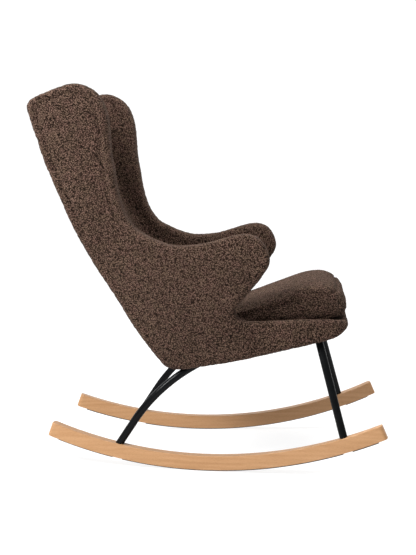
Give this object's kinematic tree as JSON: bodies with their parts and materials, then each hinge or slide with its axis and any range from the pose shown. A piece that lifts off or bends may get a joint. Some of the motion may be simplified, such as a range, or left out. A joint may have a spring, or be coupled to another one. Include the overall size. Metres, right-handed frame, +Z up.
{
  "type": "rocking chair",
  "caption": "Winged lounge rocking chair: upholstered shell with arms, loose crowned seat cushion, bent tube leg frames and curved wooden rockers.",
  "frame": {"origin": "on the floor, under the middle of the chair's overall length and width", "axes": "+X towards the front of the chair, +Y towards the sitter's left, +Z up"},
  "size_m": [0.9175, 0.7146, 0.984],
  "materials": {
    "oak": "satin",
    "plywood": "matte",
    "grip": "matte",
    "black_steel": "satin",
    "steel": "satin",
    "boucle": "matte",
    "webbing": "matte",
    "lining": "matte"
  },
  "bodies": {
    "chair": {"rocker_right": "oak", "rocker_left": "oak", "grip_strip_rear_right": "grip", "grip_strip_middle_right": "grip", "grip_strip_front_right": "grip", "side_frame_right": "plywood", "wing_frame_right": "plywood", "base_rail_right": "plywood", "side_outer_pad_right": "boucle", "side_inner_pad_right": "boucle", "wing_outer_pad_right": "boucle", "wing_inner_pad_right": "boucle", "base_side_pad_right": "boucle", "grip_strip_rear_left": "grip", "grip_strip_middle_left": "grip", "grip_strip_front_left": "grip", "side_frame_left": "plywood", "wing_frame_left": "plywood", "base_rail_left": "plywood", "side_outer_pad_left": "boucle", "side_inner_pad_left": "boucle", "wing_outer_pad_left": "boucle", "wing_inner_pad_left": "boucle", "base_side_pad_left": "boucle", "front_leg_frame": "black_steel", "rear_leg_frame": "black_steel", "front_mount_plates": "black_steel", "rear_mount_plates": "black_steel", "leg_thread_plugs": "steel", "rocker_bolts": "steel", "rocker_washers": "steel", "seat_bolts": "steel", "tee_nuts": "steel", "seat_board": "plywood", "back_bottom_rail": "plywood", "back_lumbar_rail": "plywood", "back_top_rail": "plywood", "base_front_rail": "plywood", "back_outer_pad": "boucle", "back_inner_pad": "boucle", "back_top_pad": "boucle", "base_front_pad": "boucle", "deck_pad": "boucle", "back_straps": "webbing", "dust_cover": "lining"},
    "seat_cushion": {"seat_cushion": "boucle"}
  },
  "joints": [
    {"name": "cushion_lift", "type": "slide", "parent": "chair", "child": "seat_cushion", "axis": [-0.2227, 0, 0.9749], "range_m": [0, 0.25]}
  ]
}
